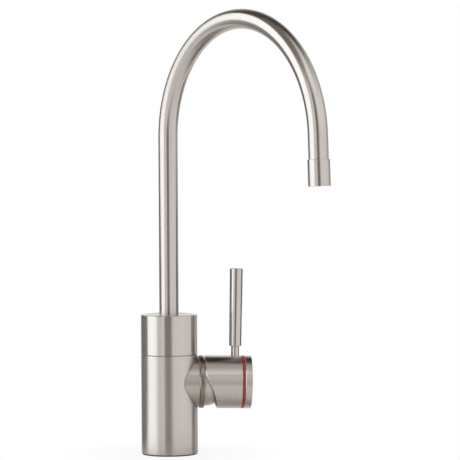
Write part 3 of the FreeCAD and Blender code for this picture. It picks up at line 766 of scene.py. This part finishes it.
def panelShare(tree, toward, panel):
    # Where a panel lies among all directions: an oval on a plane that faces the faucet.
    around = math.radians(panel["aroundAngle"] + cameraSide)
    height = math.radians(panel["heightAngle"])
    middle = Vector((
        math.sin(around) * math.cos(height), -math.cos(around) * math.cos(height),
        math.sin(height)))
    sideways = middle.cross(zAxis).normalized()
    tilt = Matrix.Rotation(-math.radians(panel["tiltAngle"]), 3, middle)
    wide = tilt @ sideways / panel["width"]
    tall = tilt @ sideways.cross(middle) / panel["height"]
    ahead, across, up = [
        addNode(tree, "ShaderNodeVectorMath", {"operation": "DOT_PRODUCT"}, {1: axis}, {0: toward})
        for axis in (middle, wide, tall)
    ]
    nearest = 0.001     # keeps directions beside and behind the panel from dividing by nothing
    distance = addNode(
        tree, "ShaderNodeMath", {"operation": "MAXIMUM"}, {1: nearest},
        {0: ahead.outputs["Value"]})
    spot = addNode(
        tree, "ShaderNodeCombineXYZ",
        links={0: across.outputs["Value"], 1: up.outputs["Value"]})
    size = addNode(
        tree, "ShaderNodeVectorMath", {"operation": "LENGTH"}, links={0: spot.outputs[0]})
    reach = addNode(
        tree, "ShaderNodeMath", {"operation": "DIVIDE"},
        links={0: size.outputs["Value"], 1: distance.outputs[0]})
    return addNode(
        tree, "ShaderNodeMapRange", {"interpolation_type": "SMOOTHSTEP"},
        {"From Min": 1 + panel["edge"], "From Max": 1 - panel["edge"]},
        {"Value": reach.outputs[0]})


def tentLevel(tree, toward, parts):
    # How bright the studio is in a direction: the list round the faucet, with the ground under it,
    # then the arc over the top, and the panels in front of both.
    front = addNode(
        tree, "ShaderNodeMath", {"operation": "MULTIPLY"}, {1: -1.0}, {0: parts.outputs[1]})
    turn = turnShare(tree, parts.outputs[0], front.outputs[0])
    stops = [(((angle + cameraSide) / 360 + 0.5) % 1.0, level) for angle, level in studio["round"]]
    around = levelRamp(tree, stops, turn)
    turn = turnShare(tree, parts.outputs[2], front.outputs[0])
    stops = [(angle / 360 + 0.5, level) for angle, level in studio["over"]]
    over = levelRamp(tree, stops, turn)
    height = addNode(
        tree, "ShaderNodeMath", {"operation": "MULTIPLY_ADD"}, {1: 0.5, 2: 0.5},
        {0: parts.outputs[2]})
    levels = {}
    for name in ("rise", "takeOver", "ground", "groundShare"):
        stops = [((math.sin(math.radians(angle)) + 1) / 2, level) for angle, level in studio[name]]
        levels[name] = levelRamp(tree, stops, height.outputs[0]).outputs[0]
    around = addNode(
        tree, "ShaderNodeMath", {"operation": "MULTIPLY"},
        links={0: around.outputs[0], 1: levels["rise"]})
    around = addNode(
        tree, "ShaderNodeMix", {"data_type": "FLOAT"},
        links={0: levels["groundShare"], 2: around.outputs[0], 3: levels["ground"]})
    sideways = addNode(
        tree, "ShaderNodeMath", {"operation": "ABSOLUTE"}, links={0: parts.outputs[0]})
    within = addNode(
        tree, "ShaderNodeMapRange",
        values={"From Min": studio["overWidth"][1], "From Max": studio["overWidth"][0]},
        links={"Value": sideways.outputs[0]})
    takeOver = addNode(
        tree, "ShaderNodeMath", {"operation": "MULTIPLY"},
        links={0: levels["takeOver"], 1: within.outputs[0]})
    tent = addNode(
        tree, "ShaderNodeMix", {"data_type": "FLOAT"},
        links={0: takeOver.outputs[0], 2: around.outputs[0], 3: over.outputs[0]})
    for panel in studio["panels"]:
        share = panelShare(tree, toward, panel)
        tent = addNode(
            tree, "ShaderNodeMix", {"data_type": "FLOAT"}, {3: panel["level"]},
            {0: share.outputs[0], 2: tent.outputs[0]})
    return tent


def tentColour(tree, tent):
    # Green follows a small power of the level, and blue the square of that.
    cooler = addNode(
        tree, "ShaderNodeMath", {"operation": "POWER"}, {1: studio["warmth"]},
        {0: tent.outputs[0]})
    coolest = addNode(
        tree, "ShaderNodeMath", {"operation": "POWER"}, {1: 2.0}, {0: cooler.outputs[0]})
    green, blue = [
        addNode(
            tree, "ShaderNodeMath", {"operation": "MULTIPLY"},
            links={0: tent.outputs[0], 1: factor.outputs[0]})
        for factor in (cooler, coolest)
    ]
    return addNode(
        tree, "ShaderNodeCombineColor",
        links={0: tent.outputs[0], 1: green.outputs[0], 2: blue.outputs[0]})


def studioWorld():
    # The white background is there for the camera and for the metal that faces it. Matt pieces get
    # plain even light, so that their colours show as they are.
    world = bpy.data.worlds.new("studioTent")
    bpy.context.scene.world = world
    world.use_nodes = True
    world.cycles.sampling_method = "NONE"
    tree = world.node_tree
    tree.nodes.clear()
    toward = addNode(tree, "ShaderNodeTexCoord").outputs["Generated"]
    parts = addNode(tree, "ShaderNodeSeparateXYZ", links={0: toward})
    colour = tentColour(tree, tentLevel(tree, toward, parts))
    path = addNode(tree, "ShaderNodeLightPath")
    behind = addNode(
        tree, "ShaderNodeMapRange", {"interpolation_type": "SMOOTHSTEP"},
        {"From Min": studio["backdrop"][0], "From Max": studio["backdrop"][1]},
        {"Value": parts.outputs[1]})
    white = addNode(
        tree, "ShaderNodeMath", {"operation": "MULTIPLY"},
        links={0: path.outputs["Is Glossy Ray"], 1: behind.outputs[0]})
    for ray in ("Is Camera Ray", "Is Transmission Ray", "Is Diffuse Ray"):
        white = addNode(
            tree, "ShaderNodeMath", {"operation": "MAXIMUM"},
            links={0: white.outputs[0], 1: path.outputs[ray]})
    seen = addNode(
        tree, "ShaderNodeMix", {"data_type": "RGBA"}, {7: pureWhite},
        {0: white.outputs[0], 6: colour.outputs[0]})
    background = addNode(
        tree, "ShaderNodeBackground", values={"Strength": 1.0}, links={"Color": seen.outputs[2]})
    addNode(tree, "ShaderNodeOutputWorld", links={"Surface": background.outputs[0]})


def paleFloor():
    # White laminate that fades out into the background.
    rings = [circle(radius, 0, studio["floorSides"]) for radius in studio["floorRings"]]
    floor = skin("paleFloor", rings, Matrix.Identity(4))
    floor.location.z = -studio["floorDrop"]
    material, tree = newMaterial("paleLaminate")
    place = addNode(tree, "ShaderNodeTexCoord")
    distance = addNode(
        tree, "ShaderNodeVectorMath", {"operation": "LENGTH"}, links={0: place.outputs["Object"]})
    fade = addNode(
        tree, "ShaderNodeMapRange", {"interpolation_type": "SMOOTHSTEP"},
        {"From Min": studio["floorFade"][0], "From Max": studio["floorFade"][1]},
        {"Value": distance.outputs["Value"]})
    path = addNode(tree, "ShaderNodeLightPath")
    seen = addNode(
        tree, "ShaderNodeMath", {"operation": "MAXIMUM"},
        links={0: path.outputs["Is Camera Ray"], 1: path.outputs["Is Transmission Ray"]})
    share = addNode(
        tree, "ShaderNodeMath", {"operation": "MULTIPLY"}, {1: studio["floorWhite"]},
        {0: seen.outputs[0]})
    plain = addNode(
        tree, "ShaderNodeBsdfDiffuse", values={"Color": linear(studio["floorColour"])})
    white = addNode(
        tree, "ShaderNodeEmission", values={"Color": pureWhite, "Strength": 1.0})
    both = addNode(
        tree, "ShaderNodeMixShader",
        links={0: share.outputs[0], 1: plain.outputs[0], 2: white.outputs[0]})
    clear = addNode(tree, "ShaderNodeBsdfTransparent")
    mixed = addNode(
        tree, "ShaderNodeMixShader",
        links={0: fade.outputs[0], 1: both.outputs[0], 2: clear.outputs[0]})
    addNode(tree, "ShaderNodeOutputMaterial", links={"Surface": mixed.outputs[0]})
    floor.data.materials.append(material)


def lowCard(card):
    # A card that only the metal's gloss sees, glowing at its level: a painted reflection. It
    # darkens the body near its edge, and the gooseneck looks over it.
    steps = studio["cardSteps"]
    mesh = bmesh.new()
    columns = []
    for step in range(steps + 1):
        sweep = (card["toAngle"] - card["fromAngle"]) * step / steps
        turn = math.radians(card["fromAngle"] + sweep + cameraSide)
        side = card["distance"] * math.sin(turn)
        front = -card["distance"] * math.cos(turn)
        columns.append([mesh.verts.new((side, front, card[end])) for end in ("low", "high")])
    for one, other in zip(columns, columns[1:]):
        mesh.faces.new((one[0], other[0], other[1], one[1]))
    piece = newPiece("lowCard", mesh)
    material, tree = newMaterial("glossOnlyReflectionCard")
    # The card glows at its level and shows only in reflections: a painted reflection.
    tone = card["level"]
    shader = addNode(tree, "ShaderNodeEmission", values={"Color": (tone, tone, tone, 1.0)})
    addNode(tree, "ShaderNodeOutputMaterial", links={"Surface": shader.outputs[0]})
    piece.data.materials.append(material)
    piece.visible_camera = False
    piece.visible_diffuse = False
    piece.visible_shadow = False
    piece.visible_transmission = False


def studioCamera():
    lens = bpy.data.cameras.new("studioCamera")
    lens.lens = studio["lens"]
    lens.sensor_width = studio["sensorWidth"]
    lens.clip_start, lens.clip_end = studio["clip"]
    camera = bpy.data.objects.new("studioCamera", lens)
    camera.matrix_world = (
        Matrix.Translation(studio["cameraPlace"])
        @ Matrix.Rotation(-math.radians(studio["turnAngle"]), 4, "Z")
        @ Matrix.Rotation(math.radians(90 - studio["pitchAngle"]), 4, "X")
        @ Matrix.Rotation(math.radians(studio["rollAngle"]), 4, "Z")
    )
    bpy.context.scene.collection.objects.link(camera)
    bpy.context.scene.camera = camera


studioWorld()
paleFloor()
for card in studio["cards"]:
    lowCard(card)
studioCamera()
bpy.context.scene.view_settings.view_transform = "Standard"
print("studio ready")
